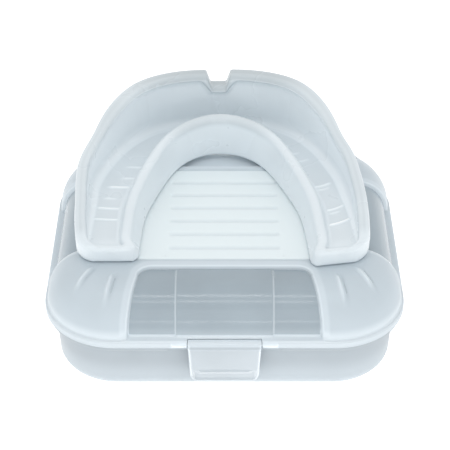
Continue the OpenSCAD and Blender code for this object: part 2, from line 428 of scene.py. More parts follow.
def ridge_height(x, y):
    """Height of the grip ridges at a plan point: a rounded bead with tapered ends."""
    p = np.stack([np.abs(x), np.abs(y)], axis=-1)
    total = np.zeros(len(p))
    for start, end in RIDGES:
        a, d = np.array(start), np.array(end) - np.array(start)
        t = np.clip(((p - a) @ d) / (d @ d), 0, 1)
        gap = np.linalg.norm(p - a - t[:, None] * d, axis=1)
        taper = smoothstep(-0.1, 0.25, t) * (1 - smoothstep(0.6, 1.1, t))
        total = np.maximum(total, RIDGE_H * taper * np.exp(-(gap / RIDGE_HALF) ** 2))
    return total


# Spacing of the dome's rings: over the last of the flat top in mm, and round the shoulder in degrees
FLAT_EDGE, FLAT_STEP, DOME_STEP = 1.2, 0.15, 2.2


def dome_section(inset, top):
    """Half section of the dome from its flat top out and down to the ledge: (inset, z, outward, upward)."""
    r = top - dome_foot
    points = [(inset + r + i, top, 0, 1) for i in spaced(FLAT_EDGE, FLAT_STEP, -FLAT_STEP)]
    for a in spaced(0, 90, DOME_STEP):
        out, up = math.sin(math.radians(a)), math.cos(math.radians(a))
        points.append((inset + r * (1 - out), dome_foot + r * up, out, up))
    fillet = dome_foot - flange_top
    points += [(i, z, 1, 0) for i, z in arc(inset - fillet, dome_foot, fillet, 0, -90, 5)[1:]]
    return points


def centre_ring(z):
    """The outline's points drawn onto the ribbed centre's edge."""
    cx, cy = half_w - CORNER_R, half_l - CORNER_R
    core = edge - normal * CORNER_R
    x = core[:, 0] / cx * (CENTRE_HALF_W - CENTRE_CORNER) + normal[:, 0] * CENTRE_CORNER
    y = core[:, 1] / cy * (CENTRE_HALF_L - CENTRE_CORNER) + normal[:, 1] * CENTRE_CORNER
    return np.column_stack([x, y, np.full(N, z)])


def front_raise(x, y):
    """1 on the slightly raised panel in the middle of the front window."""
    across = 1 - smoothstep(FRONT_PANEL - 0.25, FRONT_PANEL + 0.05, np.abs(x))
    inner = smoothstep(FRONT_END + 0.5, FRONT_END + 0.9, -y)
    return across * inner


def beyond_border(x, y):
    """Distance outside the raised centre's border, negative within it."""
    return np.maximum(np.abs(x) - BORDER_HALF_W, np.abs(y) - BORDER_HALF_L)


def border_groove(x, y):
    """A fine groove round the raised centre."""
    return BORDER_DEPTH * np.exp(-(beyond_border(x, y) / 0.28) ** 2)


def top_steps():
    """Places from the ribbed centre (0) to the shoulder (1), close together where the window ends are."""
    return np.concatenate([spaced(0, 0.06, 0.03), spaced(0.07, 0.18, 0.01), spaced(0.2, 0.41, 0.03),
                           spaced(0.42, 0.66, 0.01), spaced(0.69, 0.97, 0.03)])


def relief(x, y):
    """Height of the lid's surface over the plain dome, measured square to it."""
    mask = window_mask(x, y)
    return (PANEL_RISE * front_raise(x, y) - RECESS) * mask + ridge_height(x, y) - border_groove(x, y)


def lid_outer_rings():
    """Rings from the ribbed centre's edge out over the shoulder and down to the ledge."""
    section = dome_section(LOBE_INSET, lid_top)
    shoulder = ring(section[0][0], lid_top)
    inner = centre_ring(lid_top)
    rings = []
    for t in top_steps():
        p = inner * (1 - t) + shoulder * t
        p[:, 2] += relief(p[:, 0], p[:, 1])
        rings.append(p)
    for inset, z, out, up in section:
        p = ring(inset, z)
        lift = relief(p[:, 0], p[:, 1])
        rings.append(ring(inset - lift * out, z + lift * up))
    return rings


def flange_gap(side, middle, half, depth):
    """Depth of a pair of gaps in the flange, one on each half of a side; side picks the side's points."""
    return depth * (side & (np.abs(np.abs(edge[:, 0]) - middle) < half))


def latch_seat(in_gap, r):
    """Rings down the flange's rim; behind the latch they hollow out a seat for its barrel."""
    by_latch = (in_gap > 0) & (edge[:, 1] < 0)
    seat_r = LATCH_R + SEAT_GAP
    axis_in = latch_y + half_l
    start = math.acos((LATCH_GAP_IN - axis_in) / seat_r)
    rings = []
    for t in np.linspace(0, 1, 9):
        a = start * (1 - 2 * t)
        z = (flange_top - r) * (1 - t) + (joint_z + r) * t
        rings.append(ring(np.where(by_latch, axis_in + seat_r * math.cos(a), in_gap),
                          np.where(by_latch, latch_z + seat_r * math.sin(a), z)))
    return rings


def lid_rings():
    """The lid's skin: outer surface, flange, and back up the inside to the ribbed centre."""
    rings = lid_outer_rings()
    front, back = edge[:, 1] < 0, edge[:, 1] > 0
    in_gap = (flange_gap(front, 0, LATCH_HALF + LATCH_GAP, LATCH_GAP_IN)
              + flange_gap(back, KNUCKLE_MID, KNUCKLE_L / 2 + GAP, HINGE_GAP_IN))
    r = np.where(in_gap > 0, 0.1, 0.5)
    for c, s in arc(0, 0, 1, 90, 180, 5):
        rings.append(ring(in_gap + r * (1 + c), flange_top - r * (1 - s)))
    rings += latch_seat(in_gap, r)
    for c, s in arc(0, 0, 1, 180, 270, 5):
        rings.append(ring(in_gap + r * (1 + c), joint_z + r * (1 + s)))
    rings.append(ring(LOBE_INSET + RECESS + WALL - 0.3, joint_z))
    section = dome_section(LOBE_INSET + WALL, lid_top - WALL)[:-5]
    for inset, z, out, up in section[::-2]:
        p = ring(inset, z)
        drop = RECESS * window_mask(p[:, 0], p[:, 1])
        rings.append(ring(inset + drop * out, z - drop * up))
    last = ring(section[0][0], lid_top - WALL)
    inner = centre_ring(lid_top - WALL)
    for t in spaced(0.1, 1, 0.1):
        p = last * (1 - t) + inner * t
        p[:, 2] -= RECESS * window_mask(p[:, 0], p[:, 1])
        rings.append(p)
    return rings


GROOVES = [-14.6 + GROOVE_PITCH * i for i in range(6)]
GROOVE_ROWS = (-2, -1.3, -1, -0.7, -0.35, 0, 0.35, 0.7, 1, 1.3, 2)
MARGIN_COLUMNS = np.array([0, 0.4, 0.7, 1.0, 1.4])


def ribbed_centre():
    """The ribbed centre: a grid whose rows follow the grooves across it."""
    rows = {-CENTRE_HALF_L, CENTRE_HALF_L}
    for g in GROOVES:
        rows.update(g + d * GROOVE_HALF for d in GROOVE_ROWS)
    rows.update(g + GROOVE_PITCH / 2 for g in GROOVES[:-1])
    rows = np.array(sorted(rows))
    xs = np.concatenate([MARGIN_COLUMNS - CENTRE_HALF_W, np.linspace(-12, 12, 17),
                         CENTRE_HALF_W - MARGIN_COLUMNS[::-1]])
    verts = []
    for y in rows:
        nearest = min(abs(y - g) for g in GROOVES)
        depth = GROOVE_DEPTH * (1 - smoothstep(0.2 * GROOVE_HALF, 1.5 * GROOVE_HALF, nearest))
        fade = 1 - smoothstep(CENTRE_HALF_W - 1.2, CENTRE_HALF_W - 0.5, np.abs(xs))
        verts += [(x, y, lid_top - depth * f) for x, f in zip(xs, fade)]
    faces = []
    n = len(xs)
    for k in range(len(rows) - 1):
        for j in range(n - 1):
            a, b = k * n + j, (k + 1) * n + j
            faces.append((a, a + 1, b + 1, b))
    return verts, faces


def paint_lid(obj, x, y, z):
    """Where the lid is transparent and matte, whiter in the centre, and its painted light and shade:
    painted window shade, painted shade in the grooves and next to the grip ridges, painted highlights along
    edges.
    """
    gap = window_gap(x, y)
    # the side windows are polished less than the front one and painted less dark; behind the centre panel,
    # under the mouthguard, the lid is not painted as a window but painted light, against the mouthguard's
    # shadow
    side = np.abs(x) > 28
    back = smoothstep(18.6, 21, y) * (np.abs(x) < 26)
    over_ledge = smoothstep(flange_top + 0.55, flange_top + 0.75, z)
    # painted highlight along the top of each grip ridge, and painted shade just to its right
    crest_highlight, beside_shade = (ridge_height(x - shift, y) / RIDGE_H for shift in (-0.15, 0.95))
    clear_and_shaded = (1 - smoothstep(-0.45, -0.15, gap)) * over_ledge * (1 - back) * (1 - 0.22 * side)
    paint(obj, "clear_and_shaded", np.clip(clear_and_shaded + 0.45 * beside_shade * (z > flange_top + 1), 0, 1))
    paint(obj, "matte", clear_and_shaded * side)

    within = 1 - smoothstep(-0.4, 0.1, beyond_border(x, y))
    over_ribs = (np.abs(x) < CENTRE_HALF_W) * (np.abs(y) < CENTRE_HALF_L)
    # painted shade in the grooves: the whiter centre colour is weakened there
    groove_shade = over_ribs * np.clip((lid_top - z) / GROOVE_DEPTH, 0, 1)
    paint(obj, "centre", within * (z > lid_top - WALL / 2) * (1 - 0.3 * groove_shade))

    # painted light on the ledge, stronger towards the front
    facing_front = 0.28 + 0.72 * smoothstep(0, -28, y)
    ledge = (1 - smoothstep(flange_top + 0.4, flange_top + 3, z)) * facing_front
    ledge *= 1 - 0.2 * smoothstep(flange_top - 0.05, flange_top - 0.4, z)
    # painted highlights along the windows' rims, round the front panel and on the grip ridges, and painted
    # light behind the centre panel
    window_line = np.exp(-((gap - 0.08) / 0.2) ** 2)
    window_rim = smoothstep(-0.1, 0.15, gap) * (1 - smoothstep(1.2, 2.0, gap))
    panel_gap = np.maximum(np.abs(x) - FRONT_PANEL, y + FRONT_END + 0.7)
    panel_line = np.exp(-(panel_gap / 0.16) ** 2) * (y < -FRONT_END)
    highlight_paint = window_line + 0.4 * window_rim + 0.7 * panel_line + crest_highlight + 0.7 * back
    paint(obj, "edge", np.clip(ledge * (1 - 0.7 * clear_and_shaded) + highlight_paint * (z > flange_top + 0.5), 0, 1))


def build_lid():
    """The lid: its skin, with the ribbed centre set into the top."""
    rings = lid_rings()
    verts = np.concatenate(rings)
    faces = ring_faces(len(rings), N) + end_caps(len(rings), N)[1:]
    centre_verts, centre_faces = ribbed_centre()
    base = len(verts)
    verts = np.concatenate([verts, centre_verts])
    faces += [tuple(base + i for i in f) for f in centre_faces]
    obj = new_object("lid_shell_visual", verts, faces, lid_mat, "lid", "lid_plastic")
    paint_lid(obj, *verts.T)
    return obj


# ---------- tray ----------

TRAY_INSET, TRAY_DRAFT, TRAY_FILLET = 2.5, 0.4, 3.5
TRAY_CENTRE_INSET = 12
LIP_INSET, LIP_T, LIP_H = 3.3, 0.8, 1.3


def build_tray():
    """The tray: one skin from the floor inside over the lip and the rim down to the foot."""
    front, back = edge[:, 1] < 0, edge[:, 1] > 0
    cut = (flange_gap(front, 0, LATCH_HALF + EAR_L + 3 * GAP, 0.45)
           + flange_gap(back, LUG_MID, KNUCKLE_L / 2 + GAP, 0.6))
    wall_in = TRAY_INSET + WALL
    fillet_in = TRAY_FILLET - WALL
    lip_mid, lip_in = LIP_INSET + LIP_T / 2, LIP_INSET + LIP_T
    lip_round = joint_z + LIP_H - 0.3
    rim_low = joint_z - RIM_T
    inside = [(TRAY_CENTRE_INSET, WALL)]
    inside += arc(wall_in + TRAY_DRAFT + fillet_in, WALL + fillet_in, fillet_in, 270, 180, 9)
    inside += [(wall_in, rim_low - 0.8), (lip_in, rim_low), (lip_in, lip_round)]
    inside += arc(lip_mid, lip_round, LIP_T / 2, 0, 180, 7)[1:]
    inside += [(LIP_INSET, joint_z + 0.1), (LIP_INSET - 0.1, joint_z)]
    edge_r = 0.35
    rim = arc(RIM_INSET + edge_r, joint_z - edge_r, edge_r, 90, 180, 4)
    rim += arc(RIM_INSET + edge_r, rim_low + edge_r, edge_r, 180, 270, 4)
    fillet_r = 0.3
    wall_high = rim_low - fillet_r
    outside = arc(TRAY_INSET - fillet_r, wall_high, fillet_r, 90, 0, 4)
    for i in range(1, 11):
        t = i / 10
        outside.append((TRAY_INSET + TRAY_DRAFT * t, wall_high + (TRAY_FILLET - wall_high) * t))
    outside += arc(TRAY_INSET + TRAY_DRAFT + TRAY_FILLET, TRAY_FILLET, TRAY_FILLET, 180, 270, 12)[1:]
    outside.append((TRAY_CENTRE_INSET, 0.0))
    rings = [ring(inset, z) for inset, z in inside]
    rings += [ring(inset + cut, z) for inset, z in rim]
    rings += [ring(inset, z) for inset, z in outside]
    faces = ring_faces(len(rings), N) + end_caps(len(rings), N)
    verts = np.concatenate(rings)
    obj = new_object("base_tray_visual", verts, faces, tray_mat, "tray", "tray_plastic")
    # painted light: the tray's lower part, lit from the floor, is painted towards the highlight colour
    paint(obj, "edge", 0.35 * (1 - smoothstep(4, 9, verts[:, 2])))
    return obj


# ---------- mouthguard ----------

def natural_spline(t, values, at):
    """Natural cubic spline through (t, values), read at the places in at."""
    n = len(t)
    h = np.diff(t)
    system = np.eye(n)
    target = np.zeros(n)
    for i in range(1, n - 1):
        system[i, i - 1:i + 2] = h[i - 1], 2 * (h[i - 1] + h[i]), h[i]
        target[i] = 6 * ((values[i + 1] - values[i]) / h[i] - (values[i] - values[i - 1]) / h[i - 1])
    m = np.linalg.solve(system, target)
    i = np.clip(np.searchsorted(t, at) - 1, 0, n - 2)
    a, b = (t[i + 1] - at) / h[i], (at - t[i]) / h[i]
    bend = ((a ** 3 - a) * m[i] + (b ** 3 - b) * m[i + 1]) * h[i] ** 2 / 6
    return a * values[i] + b * values[i + 1] + bend


class ArchCurve:
    """A horseshoe curve in plan, given by its right half from heel to apex; read along the section rays."""

    def __init__(self, half):
        right = np.array(half, float)
        left = right[-2::-1] * (-1, 1)
        p = np.concatenate([right, left])
        t = np.concatenate([[0], np.cumsum(np.linalg.norm(np.diff(p, axis=0), axis=1))])
        u = np.linspace(0, t[-1], 1200)
        x, y = natural_spline(t, p[:, 0], u), natural_spline(t, p[:, 1], u)
        leg = (x > 0) & (y < ARCH_CENTRE + 3)
        order = np.argsort(y[leg])
        self.leg = y[leg][order], x[leg][order]
        arch = y > ARCH_CENTRE - 3
        angle = np.arctan2(y - ARCH_CENTRE, x)[arch]
        order = np.argsort(angle)
        self.arch = angle[order], np.hypot(x, y - ARCH_CENTRE)[arch][order]

    def at_leg(self, y):
        return np.interp(y, *self.leg)

    def at_angle(self, angle):
        return np.interp(angle, *self.arch)


# Plan curves in the mouthguard's own frame: heels towards -Y, apex towards +Y
ARCH_CENTRE = -8.0
HEEL_Y = -31.5
APEX_Y = 32.5
OPENING = [(20.0, HEEL_Y), (19.9, -26), (19.5, -20), (18.7, -13), (16.8, -6), (14.4, 1), (11.4, 8),
           (7.2, 13.3), (0, 16.2)]
WALL_BASE = [(34.0, HEEL_Y), (34.4, -22), (34.2, -12), (33.0, -3), (31.0, 5.5), (28.5, 13), (24.4, 20.6),
             (18.4, 26.6), (10, 30.2), (0, 31.4)]
WALL_RIM = [(34.0, HEEL_Y), (34.6, -22), (34.5, -13), (33.8, -5), (32.6, 2), (30.7, 7.0), (29.3, 12),
            (26.8, 18.6), (21.9, 25.3), (13.5, 30.6), (5.5, 32.4), (0, APEX_Y)]
# The left half of the real outer wall stands a little further out than the right one
LEFT_BULGE_Y = [HEEL_Y, -15, -3, 7, 15, 24, APEX_Y - 1, APEX_Y]
LEFT_BULGE = [0.5, 0.8, 1.9, 1.8, 1.3, 0.6, 0.2, 0]
# Heights of the outer and the inner wall along the arch
RIM_HEIGHT_Y = [HEEL_Y, -25, -15, -5, 2, 10, 20, 26, APEX_Y]
RIM_HEIGHT_Z = [4.2, 6.0, 8.0, 9.5, 10.5, 12.5, 15.0, 16.4, 16.6]
INNER_HEIGHT_Y = [HEEL_Y, -20, -10, 0, 10, 16]
INNER_HEIGHT_Z = [4.2, 5.5, 7.0, 8.5, 10.0, 11.0]
FLOOR_Z = 3.0
FOOT_R_IN, FOOT_R_OUT = 0.9, 1.4
INNER_T = 3.0
RIM_T_SIDE, RIM_T_FRONT = 2.8, 4.2
HEEL_ROUND_OUT, HEEL_ROUND_IN = 4.5, 2.5
HEEL_WALL = 2.2
HEEL_MID = 27.5
# The lip notch in front, and the bead inside the outer wall, which dips under it
NOTCH_TOP, NOTCH_FOOT, NOTCH_DEPTH = 3.4, 1.9, 3.4
BEAD_TOP, BEAD_FOOT, BEAD_DEPTH = 5.6, 2.4, 3.6
BEAD_H, BEAD_STEP_SIDE, BEAD_STEP_FRONT = 2.0, 0.06, 0.6
# Steps across the bite channel: y of the inner end, start and end as shares of the channel's width,
# and strength
LEFT_STEPS = [(6.2, 0, 0.5, 0.5), (1.2, 0, 0.4, 0.5), (-2.9, 0, 0.65, 1.0), (-7.9, 0.3, 0.7, 0.5),
              (-12.2, 0, 0.9, 0.9), (-16.9, 0, 0.95, 0.8)]
RIGHT_STEPS = [(11.1, 0, 0.5, 0.5), (7.7, 0.1, 0.6, 0.4), (-3.9, 0, 0.75, 0.7), (-5.4, 0.1, 0.6, 0.5),
               (-14.3, 0, 0.9, 0.9), (-15.8, 0.15, 0.6, 0.5), (-20.3, 0, 1.1, 1.2)]
LEFT_RISE, RIGHT_RISE = 0.7, 2.6
# STEP_HIGHLIGHT is how much paler the steps are painted, a painted glint
STEP_HALF, STEP_H, STEP_FADE, STEP_HIGHLIGHT = 0.34, 0.3, 0.1, 0.6
# Turn on the lid, and the height in the arch where the mouthguard is widest
GUARD_TURN = math.radians(1.5)
WIDEST_Y = 15
# How transparent and dark each part of the section is painted, from 0 to 1, near the heels and at the
# front: partly the polymer's real clarity, partly painted light and shade
SIDE_TONES = [0.5, 0.58, 0.6, 0.6, 0.5, 0.5, 0.64, 0.42, 0.34, 0.4, 0.5, 0.7, 0.74, 0.68, 0.6, 0.6, 0.6]
FRONT_TONES = [0.4, 0.5, 0.72, 0.72, 0.65, 0.65, 0.65, 0.62, 0.58, 0.65, 0.72, 0.88, 0.95, 0.9, 0.7,
               0.6, 0.6]
# painted light: the heels' front faces are painted paler
HEEL_TONE = 0.55


# The bite floor's first point and number of points in a section
FLOOR_FIRST, FLOOR_POINTS = 27, 11


def bend(cx, cz, rx, rz, start, end, steps):
    """Points on an arc of an ellipse, from start to end in degrees."""
    a = np.radians(np.linspace(start, end, steps))
    return np.column_stack([cx + rx * np.cos(a), cz + rz * np.sin(a)])


def straight(a, b, steps):
    """Points between a and b, without either."""
    t = np.linspace(0, 1, steps + 2)[1:-1, None]
    return np.array(a) * (1 - t) + np.array(b) * t


def guard_section(base_w, rim_w, h_in, h_out, bead_z, rim_t, floor, lean, squeeze, step):
    """One closed section as (distance from the opening, height), anticlockwise from the opening's foot."""
    top_r = INNER_T / 2
    top_fall = min(top_r, max(0.05, h_in - floor - 0.05))
    fillet = min(1.6, max(0.02, (h_in - top_fall - floor) * 0.6))
    inner_top = (lean + INNER_T, h_in - top_fall)
    inner_foot_x = inner_top[0] + 0.3
    rim_r = min(1.0, rim_t / 3)
    rim_in_r = min(rim_r, 0.4 * (h_out - floor))
    bead_z = max(floor + 0.05, min(bead_z, h_out - rim_in_r - 0.1))
    lip = h_out - rim_in_r - bead_z
    fillet_out = min(2.0, (bead_z - floor) * 0.5)
    wall_slope = (rim_w - base_w) / h_out
    face_foot_z = floor + fillet_out
    face_foot_x, bead_face_x = (base_w + wall_slope * z - rim_t + step for z in (face_foot_z, bead_z))
    bead_x = bead_face_x - step / 2
    rim_in_x = rim_w - rim_t + rim_in_r
    floor_in_x, floor_out_x = inner_foot_x + fillet, face_foot_x - fillet_out
    parts = [
        # inner wall: foot, side towards the opening, rounded top, side towards the channel
        bend(FOOT_R_IN, FOOT_R_IN, FOOT_R_IN, FOOT_R_IN, 270, 180, 4),
        straight((0, FOOT_R_IN), (lean, h_in - top_r), 6),
        bend(lean + top_r, h_in - top_r, top_r, top_r, 180, 90, 5),
        bend(lean + top_r, h_in - top_fall, top_r, top_fall, 90, 0, 5)[1:],
        straight(inner_top, (inner_foot_x, floor + fillet), 3),
        # bite floor between its two fillets
        bend(floor_in_x, floor + fillet, fillet, fillet, 180, 270, 5),
        straight((floor_in_x, floor), (floor_out_x, floor), FLOOR_POINTS),
        bend(floor_out_x, face_foot_z, fillet_out, fillet_out, 270, 360, 5),
        # outer wall: inner face, step back at the bead, rounded rim, outer face, foot
        straight((face_foot_x, face_foot_z), (bead_face_x, bead_z), 7),
        bend(bead_x, bead_z, step / 2, 0.4 * lip, 0, 90, 3),
        bend(bead_x, bead_z + 0.9 * lip, step / 2, 0.5 * lip, 270, 180, 3),
        bend(rim_in_x, h_out - rim_in_r, rim_in_r, rim_in_r, 180, 90, 5),
        straight((rim_in_x, h_out), (rim_w - rim_r, h_out), 2),
        bend(rim_w - rim_r, h_out - rim_r, rim_r, rim_r, 90, 0, 6),
        straight((rim_w, h_out - rim_r), (base_w, FOOT_R_OUT), 7),
        bend(base_w - FOOT_R_OUT, FOOT_R_OUT, FOOT_R_OUT, FOOT_R_OUT, 0, -90, 5),
        straight((base_w - FOOT_R_OUT, 0), (FOOT_R_IN, 0), 5),
    ]
    section = np.concatenate(parts)
    section[:, 1] = np.clip(section[:, 1], squeeze, max(h_out - squeeze, squeeze + 0.2))
    counts = [len(part) for part in parts]
    return section, np.repeat(SIDE_TONES, counts), np.repeat(FRONT_TONES, counts)


def heel_drop(d, r):
    """How far a rounded end of radius r has fallen at distance d from its tip."""
    d = np.clip(d, 0, r)
    return r - math.sqrt(r * r - (r - d) ** 2)


def guard_stations():
    """(origin, direction, angle or None, distance from the heel) per section, from the right heel on."""
    near = [0, 0.06, 0.2, 0.45, 0.8, 1.2, 1.6, 2.0, 2.5, 3.0, 3.6, 4.3, 5.0]
    leg = near + list(np.linspace(5.0, ARCH_CENTRE - HEEL_Y, 100)[1:-1])
    turns = np.linspace(0, math.pi, 241)
    stations = [((0, HEEL_Y + d), (1, 0), None, d) for d in leg]
    stations += [((0, ARCH_CENTRE), (math.cos(a), math.sin(a)), a, 99) for a in turns]
    stations += [((0, HEEL_Y + d), (-1, 0), None, d) for d in reversed(leg)]
    return stations


def wall_reaches(curves, origin, ray, angle):
    """Distances from a section's origin to the opening, to the outer wall's base and to its rim."""
    if angle is None:
        r_in, r_base, r_rim = (c.at_leg(origin[1]) for c in curves)
    else:
        r_in, r_base, r_rim = (c.at_angle(angle) for c in curves)
    if ray[0] < 0:
        r_base += np.interp(origin[1] + ray[1] * r_base, LEFT_BULGE_Y, LEFT_BULGE)
        r_rim += np.interp(origin[1] + ray[1] * r_rim, LEFT_BULGE_Y, LEFT_BULGE)
    return r_in, r_base, r_rim


def near_front(foot, top, x, y):
    """1 in the middle of the arch's front, falling to 0 between the half widths foot and top."""
    return (1 - smoothstep(foot, top, abs(x))) * (y > 0)


def build_guard():
    """The mouthguard: sections from the right heel round the arch to the left heel."""
    curves = [ArchCurve(half) for half in (OPENING, WALL_BASE, WALL_RIM)]
    rings, clarity_and_painted_light = [], []
    for origin, ray, angle, d in guard_stations():
        r_in, r_base, r_rim = wall_reaches(curves, origin, ray, angle)
        drop_out, drop_in = heel_drop(d, HEEL_ROUND_OUT), heel_drop(d, HEEL_ROUND_IN)
        r_in, r_base, r_rim = r_in + drop_in, r_base - drop_out, r_rim - drop_out
        rim_x, rim_y = origin[0] + ray[0] * r_rim, origin[1] + ray[1] * r_rim
        in_y = origin[1] + ray[1] * r_in
        plain = natural_spline(np.array(RIM_HEIGHT_Y), np.array(RIM_HEIGHT_Z), np.array([rim_y]))[0]
        h_in = np.interp(in_y, INNER_HEIGHT_Y, INNER_HEIGHT_Z)
        h_out = plain - NOTCH_DEPTH * near_front(NOTCH_FOOT, NOTCH_TOP, rim_x, rim_y)
        bead_z = plain - BEAD_H - BEAD_DEPTH * near_front(BEAD_FOOT, BEAD_TOP, rim_x, rim_y)
        front = smoothstep(5, 24, rim_y)
        rim_t = RIM_T_SIDE + (RIM_T_FRONT - RIM_T_SIDE) * front
        step = BEAD_STEP_SIDE + (BEAD_STEP_FRONT - BEAD_STEP_SIDE) * front
        heel = 1 - smoothstep(HEEL_WALL - 0.9, HEEL_WALL + 0.9, d)
        floor = FLOOR_Z + (min(h_in, h_out) - 0.25 - FLOOR_Z) * heel
        lean = 0.2 + 1.5 * (1 - smoothstep(6, 20, in_y)) * smoothstep(0.5, 5, d)
        squeeze = 0.9 * heel_drop(d, 1.1)
        section, side_tone, front_tone = guard_section(
            r_base - r_in, r_rim - r_in, h_in, h_out, bead_z, rim_t, floor, lean, squeeze, step)
        reach, height = r_in + section[:, 0], section[:, 1]
        rings.append(np.column_stack([origin[0] + ray[0] * reach, origin[1] + ray[1] * reach, height]))
        # the tone mixes the polymer's clarity with painted light and shade, and the heels are painted paler
        towards_front = np.where(front_tone > 0.6, smoothstep(22, 33, rim_y), smoothstep(8, 32, rim_y))
        tone = side_tone + (front_tone - side_tone) * towards_front
        clarity_and_painted_light.append(tone + (HEEL_TONE - tone) * 0.8 * (1 - smoothstep(3, 7, d)))
    verts = np.concatenate(rings)
    n = len(rings[0])
    on_step = add_steps(verts, n)
    shear_heels(verts)
    verts = place_guard(verts)
    faces = ring_faces(len(rings), n) + end_caps(len(rings), n)
    obj = new_object("mouthguard_visual", verts, faces, guard_mat, "guard", "guard_rubber")
    # painted highlights: the steps are painted paler, as glints
    paint(obj, "clarity_and_painted_light", np.clip(np.concatenate(clarity_and_painted_light) - STEP_HIGHLIGHT * on_step, 0, 1))
    return obj


def add_steps(verts, n):
    """Low curved steps across the bite channel. Returns how strongly each vertex is on a step."""
    x, y = verts[:, 0], verts[:, 1]
    share = np.zeros(n)
    share[FLOOR_FIRST:FLOOR_FIRST + FLOOR_POINTS] = np.linspace(0, 1, FLOOR_POINTS + 2)[1:-1]
    share = np.tile(share, len(verts) // n)
    on_step = np.zeros(len(verts))
    for side, rise, steps in ((-1, LEFT_RISE, LEFT_STEPS), (1, RIGHT_RISE, RIGHT_STEPS)):
        for inner_y, start, end, strength in steps:
            line = y - (inner_y + rise * share ** 1.6)
            along = smoothstep(start - STEP_FADE, start + STEP_FADE, share)
            along *= 1 - smoothstep(end - STEP_FADE, end + STEP_FADE, share)
            along *= (share > 0) * (x * side > 0)
            on_step = np.maximum(on_step, strength * along * np.exp(-(line / STEP_HALF) ** 2))
    verts[:, 2] += STEP_H * on_step
    return on_step


def shear_heels(verts):
    """The soft heels don't end square: the right one lies longer on its inner side."""
    x, y = verts[:, 0], verts[:, 1]
    fade = 1 - smoothstep(HEEL_Y + 1, HEEL_Y + 14, y)
    outwards = np.abs(x) - HEEL_MID
    y += fade * np.where(x > 0, -0.9 + 0.16 * outwards, 1.3 + 0.02 * outwards)


def place_guard(verts):
    """From the mouthguard's own frame to its resting place on the lid."""
    c, s = math.cos(GUARD_TURN), math.sin(GUARD_TURN)
    cx = (guard_low[0] + guard_high[0]) / 2 - s * WIDEST_Y
    cy = guard_high[1] - APEX_Y
    x, y, z = verts.T
    return np.column_stack([cx + c * x - s * y, cy + s * x + c * y, guard_low[2] + z])


# ---------- latch and hinges ----------

ROUND = np.linspace(0, 2 * math.pi, 40, endpoint=False)


def circle_loop(axis, r, angles):
    """Points in (y, z) round an axis along X."""
    return np.column_stack([axis[0] + r * np.cos(angles), axis[1] + r * np.sin(angles)])


def tube(name, profile, axis, material, body, slot):
    """A solid of revolution round an X-parallel axis; profile is (x, radius)."""
    rings = [np.column_stack([np.full(len(ROUND), x), circle_loop(axis, r, ROUND)]) for x, r in profile]
    faces = ring_faces(len(rings), len(ROUND))
    faces += [cap[::-1] for cap in end_caps(len(rings), len(ROUND))]
    return new_object(name, np.concatenate(rings), faces, material, body, slot)


def rounded_pin(x0, x1, r, edge_r):
    """Profile of a pin with rounded ends, for tube()."""
    angles = spaced(0, math.pi / 2, 0.4)
    ends = [(edge_r * (1 - math.cos(a)), r - edge_r * (1 - math.sin(a))) for a in angles]
    return [(x0 + dx, rr) for dx, rr in ends] + [(x1 - dx, rr) for dx, rr in reversed(ends)]


def loft_x(name, outline, bore, xs, material, body, slot):
    """A knuckle along X. outline(shrink) and bore are (y, z) loops of equal length; xs is (low, high)."""
    soft = 0.25
    low, high = xs
    outer = [(0, outline(soft)), (0.08, outline(soft / 3)), (soft, outline(0))]
    loops = [(low, bore)] + [(low + x, loop) for x, loop in outer]
    loops += [(high - x, loop) for x, loop in reversed(outer)] + [(high, bore)]
    verts = np.concatenate([np.column_stack([np.full(len(loop), x), loop]) for x, loop in loops])
    n = len(bore)
    faces = ring_faces(len(loops), n)
    last = (len(loops) - 1) * n
    faces += [(last + j, j, (j + 1) % n, last + (j + 1) % n) for j in range(n)]
    return new_object(name, verts, faces, material, body, slot)


def hooked_outline(top, bottom, web_y):
    """The knuckle's round end with a web that runs back to the case between two heights."""
    below, above = joint_z - bottom, top - joint_z
    start = -math.pi / 2 if below > KNUCKLE_R - 0.01 else -math.pi + math.asin(below / KNUCKLE_R)
    end = math.pi - math.asin(max(above, 0) / KNUCKLE_R)

    def outline(shrink):
        angles = np.linspace(start, end, 41)
        loop = circle_loop(hinge_axis, KNUCKLE_R - shrink, angles)
        web = [(web_y, top - shrink), (web_y, bottom + shrink)]
        return np.concatenate([loop, web])

    return outline


def build_hinges():
    """Tray knuckles, lid lugs and the lid's stub pins, in pairs."""
    bore_angles = np.concatenate([np.linspace(-math.pi / 2, math.pi, 41), [1.08 * math.pi, 1.42 * math.pi]])
    bore = circle_loop(hinge_axis, PIN_R + BORE_GAP, bore_angles)
    knuckle = hooked_outline(joint_z - 0.03, joint_z - KNUCKLE_R, hinge_y - KNUCKLE_WEB)
    lug = hooked_outline(flange_top - 0.03, joint_z, hinge_y - LUG_WEB)
    on_tray = (tray_mat, "tray", "tray_plastic")
    on_lid = (lid_mat, "lid", "lid_plastic")
    pieces = {"base_tray": [], "lid_shell": []}
    for side, tag in ((-1, "left"), (1, "right")):
        knuckle_ends, lug_ends = (sorted(side * (mid + k * KNUCKLE_L / 2) for k in (-1, 1))
                                  for mid in (KNUCKLE_MID, LUG_MID))
        pin_tip, pin_root = LUG_MID - KNUCKLE_L / 2 - PIN_L + 0.1, LUG_MID + KNUCKLE_L / 2 - 0.4
        pin = rounded_pin(*sorted((side * pin_tip, side * pin_root)), PIN_R, 0.3)
        pieces["base_tray"].append(loft_x(f"tray_knuckle_{tag}", knuckle, bore, knuckle_ends, *on_tray))
        pieces["lid_shell"].append(loft_x(f"lid_lug_{tag}", lug, bore, lug_ends, *on_lid))
        pieces["lid_shell"].append(tube(f"hinge_pin_{tag}", pin, hinge_axis, *on_lid))
    return pieces


